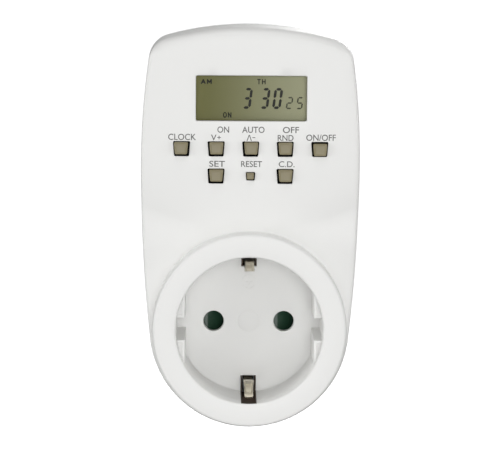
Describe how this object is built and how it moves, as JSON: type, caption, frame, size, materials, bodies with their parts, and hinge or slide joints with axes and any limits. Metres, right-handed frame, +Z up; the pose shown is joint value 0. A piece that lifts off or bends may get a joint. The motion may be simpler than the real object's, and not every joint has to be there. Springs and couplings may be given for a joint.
{
  "type": "plug-in programmable timer",
  "caption": "Plug-in mains timer: a rounded white case with an earthed outlet in front, its plug behind, and a clock display over two rows of small keys.",
  "frame": {"origin": "centre of the plug's end face", "axes": "+Y runs into the wall along the plug's pins, +Z is up, +X is to the right for somebody facing the timer"},
  "size_m": [0.0586, 0.079, 0.1073],
  "materials": {
    "casing": "white moulded plastic with a fine satin sheen",
    "keys": "taupe moulded plastic, satin",
    "shutter": "dark green moulded plastic",
    "carrier": "dark brown moulded plastic",
    "nickel": "nickel-plated brass, lightly brushed",
    "brass": "bare rolled brass",
    "screws": "zinc-plated steel",
    "copper": "enamelled copper winding",
    "rubber": "grey silicone rubber",
    "window": "clear moulded window",
    "lcd": "olive liquid-crystal glass with dark segments",
    "board": "green coated circuit board",
    "black_plastic": "black moulded plastic",
    "relay_blue": "blue moulded plastic",
    "capacitor_yellow": "yellow potted plastic",
    "brown_wire": "brown flexible insulation",
    "blue_wire": "blue flexible insulation"
  },
  "bodies": {
    "casing": {"front_cover": "casing", "rear_shell": "casing", "screw_top_left": "screws", "screw_top_right": "screws", "screw_low_left": "screws", "screw_low_right": "screws", "socket_insert": "casing", "shutter_spring": "screws", "contact_carrier": "carrier", "live_contact": "brass", "neutral_contact": "brass", "socket_earth_clip": "nickel", "live_pin": "nickel", "neutral_pin": "nickel", "plug_earth_strap": "nickel", "earth_rivet": "brass", "keypad_mat": "rubber", "display_window": "window", "lcd_glass": "lcd", "lcd_frame": "black_plastic", "lcd_conductor": "rubber", "display_board": "board", "controller_chip": "black_plastic", "watch_crystal": "screws", "board_header": "black_plastic", "main_board": "board", "relay_cover": "relay_blue", "relay_base": "black_plastic", "relay_coil": "copper", "film_capacitor": "capacitor_yellow", "electrolytic_capacitor": "black_plastic", "varistor": "relay_blue", "rectifier": "black_plastic", "resistor": "capacitor_yellow", "fuse": "black_plastic", "backup_cell": "screws", "live_pin_wire": "brown_wire", "neutral_pin_wire": "blue_wire", "live_contact_wire": "brown_wire", "neutral_contact_wire": "blue_wire"},
    "key_clock_body": {"key_clock": "keys"},
    "key_down_body": {"key_down": "keys"},
    "key_up_body": {"key_up": "keys"},
    "key_random_body": {"key_random": "keys"},
    "key_on_off_body": {"key_on_off": "keys"},
    "key_set_body": {"key_set": "keys"},
    "key_reset_body": {"key_reset": "keys"},
    "key_countdown_body": {"key_countdown": "keys"},
    "shutter_body": {"shutter": "shutter"},
    "armature_body": {"relay_armature": "screws"}
  },
  "joints": [
    {"name": "key_clock_press", "type": "slide", "parent": "casing", "child": "key_clock_body", "axis": [0, 1, 0], "range_m": [0, 0.0008], "stiffness_N_per_m": 600},
    {"name": "key_down_press", "type": "slide", "parent": "casing", "child": "key_down_body", "axis": [0, 1, 0], "range_m": [0, 0.0008], "stiffness_N_per_m": 600},
    {"name": "key_up_press", "type": "slide", "parent": "casing", "child": "key_up_body", "axis": [0, 1, 0], "range_m": [0, 0.0008], "stiffness_N_per_m": 600},
    {"name": "key_random_press", "type": "slide", "parent": "casing", "child": "key_random_body", "axis": [0, 1, 0], "range_m": [0, 0.0008], "stiffness_N_per_m": 600},
    {"name": "key_on_off_press", "type": "slide", "parent": "casing", "child": "key_on_off_body", "axis": [0, 1, 0], "range_m": [0, 0.0008], "stiffness_N_per_m": 600},
    {"name": "key_set_press", "type": "slide", "parent": "casing", "child": "key_set_body", "axis": [0, 1, 0], "range_m": [0, 0.0008], "stiffness_N_per_m": 600},
    {"name": "key_reset_press", "type": "slide", "parent": "casing", "child": "key_reset_body", "axis": [0, 1, 0], "range_m": [0, 0.0008], "stiffness_N_per_m": 600},
    {"name": "key_countdown_press", "type": "slide", "parent": "casing", "child": "key_countdown_body", "axis": [0, 1, 0], "range_m": [0, 0.0008], "stiffness_N_per_m": 600},
    {"name": "shutter_slide", "type": "slide", "parent": "casing", "child": "shutter_body", "axis": [-1, 0, 0], "range_m": [0, 0.00575], "stiffness_N_per_m": 80, "springref_m": -0.002, "deforming": ["shutter_spring"]},
    {"name": "relay_armature_hinge", "type": "hinge", "parent": "casing", "child": "armature_body", "pos_m": [-0.009, -0.037, 0.0644], "axis": [1, 0, 0], "range_deg": [0, 3.4], "stiffness_Nm_per_rad": 0.02}
  ]
}
